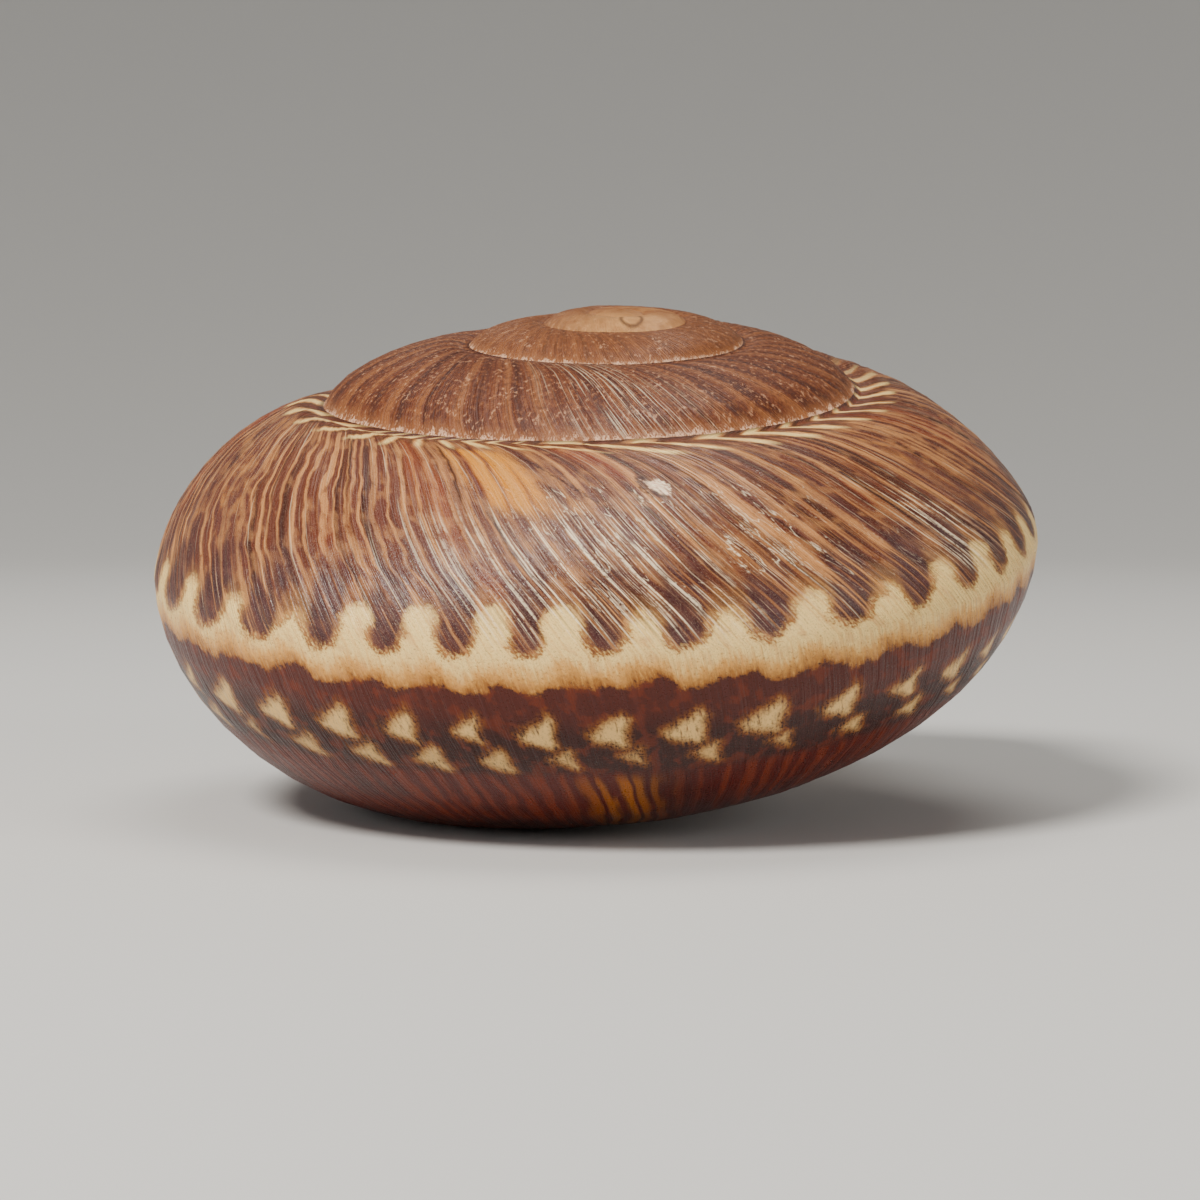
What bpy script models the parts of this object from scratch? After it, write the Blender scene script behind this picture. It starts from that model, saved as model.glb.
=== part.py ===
# A large, low, right-handed land snail shell with a narrow umbilicus, built as one hollow piece.
#
# The wall is a band that winds about the axis of coiling. Every column of its mesh is a growth
# line, and the rows run from the suture over the periphery and the base into the umbilicus. The
# suture of each whorl lies on the whorl before it, so the band closes on itself. The space
# inside is a second band, one wall thickness further in.
# Lengths are in millimetres here and become metres as the mesh is made.

import math

import bmesh
import bpy
import numpy as np
from mathutils import Matrix

MM = 0.001

# Growth. Turns are counted from the centre of the spire, and heights from its tip.
FIRST_RADIUS = 2.5
GROWN_RADIUS = 33.7
GROWTH_MIDDLE = 3.45
GROWTH_SPREAD = 0.96
START_ROUNDING = 0.25
DROP_PER_RADIUS = 0.42
LATE_DROP = 1.88
LATE_DROP_FROM = 2.95
TURNS_AT_LEFT_SIDE = 4.6

# Section of a whorl. Angles are in degrees and fractions are of the whorl's radius.
SUTURE_ANGLE_YOUNG = 39.6
SUTURE_ANGLE_GAIN = 14.9
SUTURE_ANGLE_FROM = 2.6
SUTURE_ANGLE_TURNS = 1.3
TOP_WIDTH_POWER = 1.07
TOP_HEIGHT_POWER = 1.17
TOP_HOLLOW = 0.056
BASE_RING = 0.386
BASE_DEPTH = 0.516
BASE_WIDTH_POWER = 1.03
BASE_HEIGHT_POWER = 1.09

# The umbilicus opens a little over one turn from the tip.
UMBILICUS_START = 1.25
UMBILICUS_TOP = -3.2
SEAM_ANGLE = 60.0

UMBILICUS_POWER = 0.7

# Growth lines lean back as they run down from the suture, in degrees about the axis.
LEAN_AT_SEAM = 22.5
LEAN_AT_PERIPHERY = 30.0
LEAN_AT_BASE = 37.5
LAST_TURN = 5.02

# The base grows shallower towards the mouth.
SHALLOW_FROM = 4.5
SHALLOW_BY = 0.33

# Wall and lip.
WALL = 0.9
WALL_RADIUS = 28.0
LIP_FLARE = 1.1
LIP_TURN = 0.06
LIP_THICKENING = 0.4
SPACE_TURNS = 2.0

# The shell rests on the base and the lip, on spots worn flat.
LEAN_FORWARD = 10.5
LEAN_RIGHT = 1.4
WORN_DEPTH = 0.25

# The mesh.
COLUMNS_PER_TURN = 48
TOP_ROWS = 5
SIDE_ROWS = 3
BASE_ROWS = 7
UMBILICUS_ROWS = 4
TURN = 2 * math.pi


def radius(t):
    t = np.maximum(t, 0.0)
    grown = GROWN_RADIUS / (1 + np.exp(-(t - GROWTH_MIDDLE) / GROWTH_SPREAD))
    return (FIRST_RADIUS + grown) * (1 - np.exp(-t / START_ROUNDING))


def height(t):
    late = np.maximum(t - LATE_DROP_FROM, 0.0)
    return -DROP_PER_RADIUS * radius(t) - LATE_DROP * late**2


def suture_angle(t):
    gain = np.clip(t - SUTURE_ANGLE_FROM, 0.0, SUTURE_ANGLE_TURNS)
    return np.radians(SUTURE_ANGLE_YOUNG + SUTURE_ANGLE_GAIN * gain)


def suture(t):
    # A whorl starts on the whorl before it, and at the tip within the first turn.
    if np.all(t <= 1.0):
        return 0 * t, 0 * t
    before = np.maximum(t - 1.0, 0.0)
    return top(before, suture_angle(before))


def top(t, angle):
    # From the suture at 0 to the periphery at a right angle.
    inner, high = suture(t)
    width = radius(t) - inner
    rise = high - height(t)
    r = inner + width * np.abs(np.sin(angle)) ** TOP_WIDTH_POWER
    z = height(t) + rise * np.abs(np.cos(angle)) ** TOP_HEIGHT_POWER
    return r, z - TOP_HOLLOW * width * np.sin(2 * angle)


def depth(t):
    near = np.clip((t - SHALLOW_FROM) / (LAST_TURN - SHALLOW_FROM), 0, 1)
    return BASE_DEPTH * radius(t) * (1 - SHALLOW_BY * near**2)


def base(t, angle):
    # From the periphery at 0 to the lowest ring at a right angle.
    ring = BASE_RING * radius(t)
    r = ring + (radius(t) - ring) * np.abs(np.cos(angle)) ** BASE_WIDTH_POWER
    z = height(t) - depth(t) * np.abs(np.sin(angle)) ** BASE_HEIGHT_POWER
    return r, z


def umbilicus_end(t):
    # Inside the umbilicus too, a whorl ends on the whorl before it.
    if np.all(t <= UMBILICUS_START + 1.0):
        return 0 * t, 0 * t + UMBILICUS_TOP
    before = np.maximum(t - 1.0, UMBILICUS_START)
    return umbilicus(before, np.radians(SEAM_ANGLE))


def umbilicus(t, angle):
    # From the lowest ring at 0 up the inner side of the whorl.
    ring = BASE_RING * radius(t)
    low = height(t) - depth(t)
    inner, high = umbilicus_end(t)
    r = ring + (inner - ring) * np.abs(np.sin(angle)) ** UMBILICUS_POWER
    z = low + (high - low) * (1 - np.abs(np.cos(angle)) ** UMBILICUS_POWER)
    opened = 1 - np.exp(-np.maximum(t - UMBILICUS_START, 0.0) / START_ROUNDING)
    return r * opened, UMBILICUS_TOP + (z - UMBILICUS_TOP) * opened


# Row numbers of the seam with the next whorl, the periphery and so on.
CONTACT = TOP_ROWS
PERIPHERY = CONTACT + SIDE_ROWS
LOWEST = PERIPHERY + BASE_ROWS
SEAM = LOWEST + UMBILICUS_ROWS - 1
LAST_ROW = LOWEST + UMBILICUS_ROWS
LAST_COLUMN = round(LAST_TURN * COLUMNS_PER_TURN)
SUTURE_SHIFT = round((1 - LEAN_AT_SEAM / 360) * COLUMNS_PER_TURN)


def lean(row):
    turns = np.interp(
        row,
        [0, CONTACT, PERIPHERY, LOWEST, LAST_ROW],
        [0.0, LEAN_AT_SEAM, LEAN_AT_PERIPHERY, LEAN_AT_BASE, LEAN_AT_BASE],
    )
    return turns / 360


def section_point(t, row):
    if row <= CONTACT:
        return top(t, suture_angle(t) * row / CONTACT)
    if row <= PERIPHERY:
        part = (row - CONTACT) / SIDE_ROWS
        return top(t, suture_angle(t) * (1 - part) + math.pi / 2 * part)
    if row <= LOWEST:
        return base(t, math.pi / 2 * (row - PERIPHERY) / BASE_ROWS)
    if row <= SEAM:
        return umbilicus(t, np.radians(SEAM_ANGLE) * (row - LOWEST) / (SEAM - LOWEST))
    return umbilicus_end(t)


def flare(column, row):
    # How far the lip is turned out, from nothing at both of its ends to all of it between them.
    near = np.clip((column - LAST_COLUMN) / (LIP_TURN * COLUMNS_PER_TURN) + 1, 0, 1)
    along = np.interp(
        row, [0, CONTACT, PERIPHERY, LOWEST, SEAM, LAST_ROW], [0, 0.8, 1, 0.6, 1.3, 0]
    )
    return near**2 * along


def outer_grid():
    # Radius, height and turn of every vertex of the outer band.
    columns = np.arange(LAST_COLUMN + 1)
    r = np.zeros((LAST_COLUMN + 1, LAST_ROW + 1))
    z = np.zeros_like(r)
    t = np.zeros_like(r)
    for row in range(LAST_ROW + 1):
        t[:, row] = columns / COLUMNS_PER_TURN - lean(row)
        r[:, row], z[:, row] = section_point(t[:, row], row)
    return r, z, t


def outward(r, z):
    # Unit normal of the section at every vertex.
    along_r = np.gradient(r, axis=1)
    along_z = np.gradient(z, axis=1)
    size = np.hypot(along_r, along_z) + 1e-9
    return -along_z / size, along_r / size


def place(r, z, t):
    around = TURN * (t - TURNS_AT_LEFT_SIDE)
    return np.stack([-r * np.cos(around), r * np.sin(around), z], axis=-1)


def bands():
    # The outer band and the band of the space inside, as grids of points.
    r, z, t = outer_grid()
    nr, nz = outward(r, z)
    column, row = np.meshgrid(
        np.arange(LAST_COLUMN + 1), np.arange(LAST_ROW + 1), indexing="ij"
    )
    turned = flare(column, row)
    out_r = r + nr * LIP_FLARE * turned
    out_z = z + nz * LIP_FLARE * turned
    wall = WALL * np.minimum(r[:, PERIPHERY : PERIPHERY + 1] / WALL_RADIUS, 1)
    wall = wall + LIP_THICKENING * turned
    outer = place(out_r, out_z, t)
    inner = place(out_r - nr * wall, out_z - nz * wall, t)
    inner[SUTURE_SHIFT:, 0] = outer[: LAST_COLUMN + 1 - SUTURE_SHIFT, CONTACT + 1]
    inner[COLUMNS_PER_TURN:, LAST_ROW] = outer[
        : LAST_COLUMN + 1 - COLUMNS_PER_TURN, SEAM - 1
    ]
    return outer, inner


def strip_faces(index, first_column, first_row, last_row):
    # Quads of a grid from one column on, between two rows.
    faces = []
    for column in range(first_column, LAST_COLUMN):
        for row in range(first_row, last_row):
            faces.append(
                (
                    index[column, row],
                    index[column + 1, row],
                    index[column + 1, row + 1],
                    index[column, row + 1],
                )
            )
    return faces


def lip_faces(outer, inner):
    faces = []
    for row in range(LAST_ROW):
        faces.append(
            (
                outer[LAST_COLUMN, row],
                inner[LAST_COLUMN, row],
                inner[LAST_COLUMN, row + 1],
                outer[LAST_COLUMN, row + 1],
            )
        )
    return faces


def far_wall(outer, inner, first, centre):
    # The end of the space, a fan about one point.
    behind = first - SUTURE_SHIFT
    loop = [inner[first, row] for row in range(LAST_ROW)]
    loop += [outer[c, SEAM - 1] for c in range(first - COLUMNS_PER_TURN, behind + 1)]
    loop += [outer[behind, row] for row in range(SEAM - 2, CONTACT + 1, -1)]
    faces = []
    for here, following in zip(loop, loop[1:] + loop[:1]):
        faces.append((following, here, centre))
    return faces, loop


def shell_mesh():
    outer, inner = bands()
    count = outer.shape[0] * outer.shape[1]
    outer_index = np.arange(count).reshape(outer.shape[:2])
    inner_index = outer_index + count
    first = LAST_COLUMN - round(SPACE_TURNS * COLUMNS_PER_TURN)
    behind = first - SUTURE_SHIFT
    start = round((UMBILICUS_START + LEAN_AT_BASE / 360) * COLUMNS_PER_TURN)
    end_top = LAST_COLUMN - SUTURE_SHIFT
    end_base = LAST_COLUMN - COLUMNS_PER_TURN
    faces = strip_faces(outer_index, 0, 0, CONTACT)
    faces += strip_faces(outer_index, end_top, CONTACT, CONTACT + 1)
    faces += strip_faces(outer_index, behind, CONTACT + 1, SEAM - 1)
    faces += strip_faces(outer_index, end_base, SEAM - 1, SEAM)
    faces += strip_faces(outer_index, start, SEAM, LAST_ROW)
    faces += [face[::-1] for face in strip_faces(inner_index, first, 0, LAST_ROW)]
    faces += lip_faces(outer_index, inner_index)
    cap, loop = far_wall(outer_index, inner_index, first, 2 * count)
    points = np.concatenate([outer.reshape(-1, 3), inner.reshape(-1, 3)])
    points = np.concatenate([points, points[loop].mean(axis=0)[None]])
    return points, faces + cap


def leaned(points):
    turn = Matrix.Rotation(math.radians(LEAN_FORWARD), 3, "X")
    turn = Matrix.Rotation(math.radians(LEAN_RIGHT), 3, "Y") @ turn
    return points @ np.array(turn).T


def resting(points):
    # Centred over the origin, with the deepest point just under the ground that wears it flat.
    low = points.min(axis=0)
    high = points.max(axis=0)
    middle = (low + high) / 2
    return points - [middle[0], middle[1], low[2] + WORN_DEPTH]


def clear_scene():
    for item in list(bpy.data.objects):
        bpy.data.objects.remove(item, do_unlink=True)


def shell_material():
    material = bpy.data.materials.new("shell")
    material.use_nodes = True
    surface = material.node_tree.nodes["Principled BSDF"]
    surface.inputs["Base Color"].default_value = (0.25, 0.1, 0.05, 1)
    surface.inputs["Roughness"].default_value = 0.35
    surface.inputs["Metallic"].default_value = 0.0
    return material


def make_object(name, points, faces, collection):
    mesh = bpy.data.meshes.new(name)
    mesh.from_pydata((points * MM).tolist(), [], [list(map(int, f)) for f in faces])
    body = bmesh.new()
    body.from_mesh(mesh)
    bmesh.ops.remove_doubles(body, verts=body.verts, dist=1e-7)
    loose = [v for v in body.verts if not v.link_faces]
    bmesh.ops.delete(body, geom=loose, context="VERTS")
    bmesh.ops.triangulate(body, faces=body.faces)
    body.to_mesh(mesh)
    body.free()
    item = bpy.data.objects.new(name, mesh)
    collection.objects.link(item)
    return item


def ground_cutter(points, collection):
    # A block whose top is the ground, z = 0.
    reach = np.abs(points).max() + 5
    corners = [
        (x, y, z) for x in (-reach, reach) for y in (-reach, reach) for z in (-10, 0)
    ]
    faces = [
        (0, 1, 3, 2),
        (4, 6, 7, 5),
        (0, 4, 5, 1),
        (2, 3, 7, 6),
        (0, 2, 6, 4),
        (1, 5, 7, 3),
    ]
    cutter = make_object("ground", np.array(corners, dtype=float), faces, collection)
    cutter.hide_render = True
    cutter.display_type = "WIRE"
    return cutter


def main():
    clear_scene()
    shells = bpy.data.collections.new("snail shell")
    cutters = bpy.data.collections.new("cutters")
    bpy.context.scene.collection.children.link(shells)
    bpy.context.scene.collection.children.link(cutters)
    points, faces = shell_mesh()
    points = resting(leaned(points))
    shell = make_object("shell", points, faces, shells)
    shell.data.materials.append(shell_material())
    for polygon in shell.data.polygons:
        polygon.use_smooth = True
    cut = shell.modifiers.new("worn flat", "BOOLEAN")
    cut.operation = "DIFFERENCE"
    cut.solver = "EXACT"
    cut.object = ground_cutter(points, cutters)
    print("shell:", len(shell.data.vertices), "vertices")


main()
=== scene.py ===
# A large, low land snail shell, seen from the side away from its mouth.
# The surface winds about the axis of coiling. One parameter is the growth angle in degrees, which
# is the same all along a growth line. The other runs across the whorl: 0 suture, 1 where the next
# whorl sits, 2 periphery, 3 lowest ring, 4 inside the umbilicus.
import math

import bmesh
import bpy
import numpy as np
from mathutils import Matrix, Vector


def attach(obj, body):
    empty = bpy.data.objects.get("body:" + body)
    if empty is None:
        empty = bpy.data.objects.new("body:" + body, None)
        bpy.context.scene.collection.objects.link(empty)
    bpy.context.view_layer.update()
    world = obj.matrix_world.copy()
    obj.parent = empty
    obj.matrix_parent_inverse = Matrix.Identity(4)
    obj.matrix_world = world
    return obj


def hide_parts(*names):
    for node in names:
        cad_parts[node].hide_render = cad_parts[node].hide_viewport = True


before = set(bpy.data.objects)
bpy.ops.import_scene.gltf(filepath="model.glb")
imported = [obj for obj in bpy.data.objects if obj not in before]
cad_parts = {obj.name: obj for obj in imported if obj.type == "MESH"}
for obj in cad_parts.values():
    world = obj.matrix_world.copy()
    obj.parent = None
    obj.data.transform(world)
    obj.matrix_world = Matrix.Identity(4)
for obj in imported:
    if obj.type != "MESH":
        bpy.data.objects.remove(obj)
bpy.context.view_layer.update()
print("frame loaded")

mm = 0.001

# The whorls, in millimetres, turns and degrees.
form = {
    "firstRadius": 2.5,
    "grownRadius": 33.7,
    "growthMiddle": 3.45,
    "growthSpread": 0.96,
    "startRounding": 0.25,
    "lastTurn": 5.02,
    "dropPerRadius": 0.42,
    "lateDrop": 1.88,
    "lateDropFrom": 2.95,
    "turnsAtLeftSide": 4.6,
    "sutureAngleYoung": 39.6,
    "sutureAngleGain": 14.9,
    "sutureAngleFrom": 2.6,
    "sutureAngleTurns": 1.3,
    "topWidthPower": 1.07,
    "topHeightPower": 1.17,
    "topHollow": 0.056,
    "baseRing": 0.386,
    "baseDepth": 0.516,
    "baseWidthPower": 1.03,
    "baseHeightPower": 1.09,
    "umbilicusStart": 1.25,
    "umbilicusTop": -3.2,
    "umbilicusPower": 0.7,
    "seamAngle": 60.0,
    "seamShare": 0.75,
    "baseLag": 37.5,
    "lastAngle": 1807.5,
    "shallowFrom": 4.5,
    "shallowBy": 0.33,
    "wall": 0.9,
    "wallRadius": 28.0,
    "mapRadius": 26.0,
    "lipFlare": 1.1,
    "lipLength": 21.6,
    "lipThickening": 0.4,
    "lipRounding": 0.45,
    "leanForward": 10.5,
    "leanRight": 1.4,
    "wornDepth": 0.25,
    "tipDrop": 0.55,
    "tipWidth": 2.2,
}

# Columns of the grid are growth lines, and rows run across the whorl.
grid = {
    "wideStep": 0.75,
    "fineStep": 0.25,
    "sutureTurn": 337.5,
    "topDistances": [0, 0.45, 0.9, 1.35, 1.9, 2.7, 3.8, 5.1, 6.5, 7.9, 9.3, 10.7],
    "topRows": 12,
    "sideRows": 6,
    "baseRows": 12,
    "umbilicusRows": 4,
    "spaceAngle": 240.0,
    "lipRows": 4,
    "tipHole": 0.3,
    "weldDistance": 1.5e-6,
}

# Low relief: heights in millimetres, and distances apart in degrees of growth. The groove's
# widths are shares of the way from the suture to where the next whorl sits.
relief = {
    "ribHeight": 0.045,
    "ribEvery": 2.1,
    "lesserRibEvery": 1.3,
    "fineRibHeight": 0.022,
    "fineRibEvery": 0.75,
    "swellHeight": 0.06,
    "swellEvery": 24.0,
    "puff": 0.5,
    "puffPower": 0.7,
    "groove": 0.4,
    "grooveAbove": 0.12,
    "grooveBelow": 0.10,
    "youngUntil": 1500.0,
    "youngFade": 60.0,
}


def radius(t):
    # An S curve of the turns, rounded off to nothing at the tip.
    t = np.maximum(t, 0.0)
    grown = form["grownRadius"] / (
        1 + np.exp(-(t - form["growthMiddle"]) / form["growthSpread"])
    )
    return (form["firstRadius"] + grown) * (1 - np.exp(-t / form["startRounding"]))


def height(t):
    # Falls with the radius, and faster as a square of the turns after the young whorls.
    late = np.maximum(t - form["lateDropFrom"], 0.0)
    return -form["dropPerRadius"] * radius(t) - form["lateDrop"] * late**2


def sutureAngle(t):
    # Where the next whorl sits, from 0 at the suture to a right angle at the periphery.
    gain = np.clip(t - form["sutureAngleFrom"], 0.0, form["sutureAngleTurns"])
    return np.radians(form["sutureAngleYoung"] + form["sutureAngleGain"] * gain)


def suture(t):
    # A whorl starts on the whorl a turn before it, and at the tip within the first turn.
    if np.all(t <= 1.0):
        return 0 * t, 0 * t
    before = np.maximum(t - 1.0, 0.0)
    return topCurve(before, sutureAngle(before))


def topCurve(t, angle):
    # Powers of sine and cosine between the suture and the periphery, slightly hollowed.
    inner, high = suture(t)
    width = radius(t) - inner
    rise = high - height(t)
    r = inner + width * np.abs(np.sin(angle)) ** form["topWidthPower"]
    z = height(t) + rise * np.abs(np.cos(angle)) ** form["topHeightPower"]
    return r, z - form["topHollow"] * width * np.sin(2 * angle)


def depth(t):
    # A share of the radius, less near the mouth.
    near = (t - form["shallowFrom"]) / (form["lastTurn"] - form["shallowFrom"])
    near = np.clip(near, 0, 1)
    return form["baseDepth"] * radius(t) * (1 - form["shallowBy"] * near**2)


def baseCurve(t, angle):
    # Powers of cosine and sine from the periphery to the lowest ring.
    ring = form["baseRing"] * radius(t)
    r = ring + (radius(t) - ring) * np.abs(np.cos(angle)) ** form["baseWidthPower"]
    return r, height(t) - depth(t) * np.abs(np.sin(angle)) ** form["baseHeightPower"]


def umbilicusEnd(t):
    # Inside the umbilicus a whorl ends on the whorl a turn before it.
    start = form["umbilicusStart"]
    if np.all(t <= start + 1.0):
        return 0 * t, 0 * t + form["umbilicusTop"]
    return umbilicusCurve(np.maximum(t - 1.0, start), np.radians(form["seamAngle"]))


def umbilicusCurve(t, angle):
    # Powers of sine and cosine from the lowest ring up to the whorl before, opening from the start.
    ring = form["baseRing"] * radius(t)
    low = height(t) - depth(t)
    top = form["umbilicusTop"]
    power = form["umbilicusPower"]
    inner, high = umbilicusEnd(t)
    r = ring + (inner - ring) * np.abs(np.sin(angle)) ** power
    z = low + (high - low) * (1 - np.abs(np.cos(angle)) ** power)
    late = np.maximum(t - form["umbilicusStart"], 0.0)
    opened = 1 - np.exp(-late / form["startRounding"])
    return r * opened, top + (z - top) * opened


def lean(across):
    # How far a growth line lags behind its start at the suture, in degrees: a smooth curve through
    # fixed angles at a few distances, with a small bulge forward just below the suture.
    knots = np.array([0.0, 12.0, 20.0, 40.0, 48.0])
    lag = np.array([0.0, 22.5, 30.0, form["baseLag"], form["baseLag"]])
    slope = np.array([2.2, 1.35, 0.6, 0.0, 0.0])
    distance = np.interp(across, [0, 1, 2, 3, 4], knots)
    index = np.clip(np.searchsorted(knots, distance, side="right") - 1, 0, 3)
    span = knots[index + 1] - knots[index]
    part = (distance - knots[index]) / span
    smooth = (
        (1 + 2 * part) * (1 - part) ** 2 * lag[index]
        + part * (1 - part) ** 2 * span * slope[index]
        + part**2 * (3 - 2 * part) * lag[index + 1]
        + part**2 * (part - 1) * span * slope[index + 1]
    )
    bulgeHeight, bulgeAt = 6.5, 1.3
    bulge = bulgeHeight * (distance / bulgeAt) * np.exp(1 - distance / bulgeAt)
    return smooth - bulge * (1 - np.clip(across, 0, 1)) ** 2


def section(t, across):
    # Radius and height at turns t and a place across the whorl.
    contact = sutureAngle(t)
    side = np.clip(across - 1, 0, 1)
    angle = np.clip(across, 0, 1) * contact * (1 - side) + side * math.pi / 2
    r, z = topCurve(t, angle)
    baseR, baseZ = baseCurve(t, np.clip(across - 2, 0, 1) * math.pi / 2)
    inward = np.clip(across - 3, 0, 1)
    upR, upZ = umbilicusCurve(t, np.radians(form["seamAngle"]) * inward / form["seamShare"])
    r = np.where(across > 3, upR, np.where(across > 2, baseR, r))
    z = np.where(across > 3, upZ, np.where(across > 2, baseZ, z))
    return r, z


def place(r, z, t):
    # Turns the section about the axis of coiling, with the left side at a whole number of turns.
    around = 2 * math.pi * (t - form["turnsAtLeftSide"])
    return np.stack([-r * np.cos(around), r * np.sin(around), z], axis=-1)


def ripple(x, wavelength, seed):
    # Seeded random values a wavelength apart, joined by smooth steps.
    count = 8192
    values = np.random.default_rng(seed).uniform(-1, 1, count)
    at = x / wavelength
    first = np.floor(at).astype(int)
    part = at - first
    part = part * part * (3 - 2 * part)
    return values[first % count] * (1 - part) + values[(first + 1) % count] * part


def patch(x, y, wavelengthX, wavelengthY, seed):
    # The same on a grid, so that it varies both ways.
    count = 512
    values = np.random.default_rng(seed).uniform(-1, 1, (count, count))
    px, py = x / wavelengthX, y / wavelengthY
    ix, iy = np.floor(px).astype(int), np.floor(py).astype(int)
    fx, fy = px - ix, py - iy
    fx, fy = fx * fx * (3 - 2 * fx), fy * fy * (3 - 2 * fy)
    left, right, low, high = ix % count, (ix + 1) % count, iy % count, (iy + 1) % count
    a = values[left, low] * (1 - fx) + values[right, low] * fx
    b = values[left, high] * (1 - fx) + values[right, high] * fx
    return a * (1 - fy) + b * fy


def swelling(growth, across):
    # Height of the relief in millimetres: growth ribs of three widths, long low swellings, the
    # roundness of the young whorls and the groove at the suture.
    scale = np.clip(radius(growth / 360 - lean(across) / 360) / form["mapRadius"], 0.0, 1.0)
    upper = 1 - 0.6 * np.clip((across - 1.6) / 0.8, 0, 1)
    inside = 1 - 0.8 * np.clip((across - 3.0) / 0.5, 0, 1)
    drift = 0.5 * patch(growth, across, 9.0, 0.35, 5)
    ribs = ripple(growth + drift, relief["ribEvery"], 1)
    ribs = ribs + 0.5 * ripple(growth + drift, relief["lesserRibEvery"], 2)
    strength = 0.65 + 0.55 * patch(growth, across, 14.0, 0.5, 6)
    fine = ripple(growth + 0.4 * drift, relief["fineRibEvery"], 3)
    swell = patch(growth, across, relief["swellEvery"], 0.8, 4) + 0.5 * ripple(growth, 11.0, 7)
    young = np.clip((relief["youngUntil"] - growth) / relief["youngFade"], 0, 1)
    arch = np.sin(math.pi * np.clip(across, 0, 1)) ** relief["puffPower"]
    covered = young * np.exp(-(((across - 1) / relief["grooveAbove"]) ** 2))
    groove = np.maximum(covered, np.exp(-((across / relief["grooveBelow"]) ** 2)))
    low = relief["puff"] * young * arch - relief["groove"] * groove
    total = relief["ribHeight"] * ribs * strength + relief["fineRibHeight"] * fine
    return scale * inside * (upper * total + relief["swellHeight"] * swell + low)


def smoothPoint(growth, across):
    # Radius and height of the bare form, and the turns at which the point lies.
    t = growth / 360 - lean(across) / 360
    r, z = section(t, across)
    return r, z, t


def outward(growth, across):
    # Unit normal of the section, from the points a little way to both sides across it.
    apart = 0.02
    low = np.clip(across - apart, 0, 4)
    high = np.clip(across + apart, 0, 4)
    t = growth / 360 - lean(across) / 360
    lowR, lowZ = section(t, low)
    highR, highZ = section(t, high)
    alongR, alongZ = highR - lowR, highZ - lowZ
    size = np.hypot(alongR, alongZ) + 1e-9
    return -alongZ / size, alongR / size


def flare(growth, across):
    # How far the lip is turned out: a square towards the mouth, and nothing at its two ends.
    near = np.clip((growth - form["lastAngle"]) / form["lipLength"] + 1, 0, 1)
    along = np.interp(across, [0, 1, 2, 3, 3.75, 4], [0, 0.8, 1, 0.6, 1.3, 0])
    return near**2 * along


def outerPoint(growth, across):
    # The outside, with its relief and the turned-out lip.
    r, z, t = smoothPoint(growth, across)
    nr, nz = outward(growth, across)
    out = form["lipFlare"] * flare(growth, across) + swelling(growth, across)
    blunt = form["tipDrop"] * np.exp(-((r / form["tipWidth"]) ** 2)) * (across < 2)
    return place(r + nr * out, z + nz * out - blunt, t)


def innerPoint(growth, across):
    # The inside, one wall thickness further in.
    r, z, t = smoothPoint(growth, across)
    nr, nz = outward(growth, across)
    turned = flare(growth, across)
    widest = section(growth / 360 - lean(2.0) / 360, 2.0 + 0 * across)[0]
    wall = form["wall"] * np.minimum(widest / form["wallRadius"], 1)
    out = form["lipFlare"] * turned - wall - form["lipThickening"] * turned
    return place(r + nr * out, z + nz * out, t)


def acrossRows():
    # Where the rows lie across the whorl.
    parts = [
        np.array(grid["topDistances"]) / grid["topRows"],
        1 + np.linspace(0, 1, grid["sideRows"] + 1)[:-1],
        2 + np.linspace(0, 1, grid["baseRows"] + 1)[:-1],
        3 + np.linspace(0, 1, grid["umbilicusRows"] + 1),
    ]
    return np.concatenate(parts)


def quads(index, rowsFrom, rowsTo, columnsFrom=0, columnsTo=None):
    # Two triangles for each cell between two rows and two columns.
    columnsEnd = None if columnsTo is None else columnsTo + 1
    part = index[columnsFrom:columnsEnd, rowsFrom : rowsTo + 1]
    a, b, c, d = part[:-1, :-1], part[1:, :-1], part[1:, 1:], part[:-1, 1:]
    first = np.stack([a, b, c], axis=-1).reshape(-1, 3)
    second = np.stack([a, c, d], axis=-1).reshape(-1, 3)
    return np.concatenate([first, second])


def stitched(wide, fine, below):
    # Cells whose one edge carries the finer columns of the next whorl: a fan from one corner.
    # wide: vertices of the plain edge, fine: vertices of the finer edge, in the same direction.
    ratio = (len(fine) - 1) // (len(wide) - 1)
    start = fine[:-1].reshape(-1, ratio)
    end = fine[1:].reshape(-1, ratio)
    corner = np.repeat(wide[:-1, None], ratio, axis=1)
    fan = np.stack([corner, end, start], axis=-1).reshape(-1, 3)
    closing = np.stack([wide[:-1], wide[1:], end[:, -1]], axis=-1)
    faces = np.concatenate([fan, closing])
    return faces if below else faces[:, ::-1]


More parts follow.
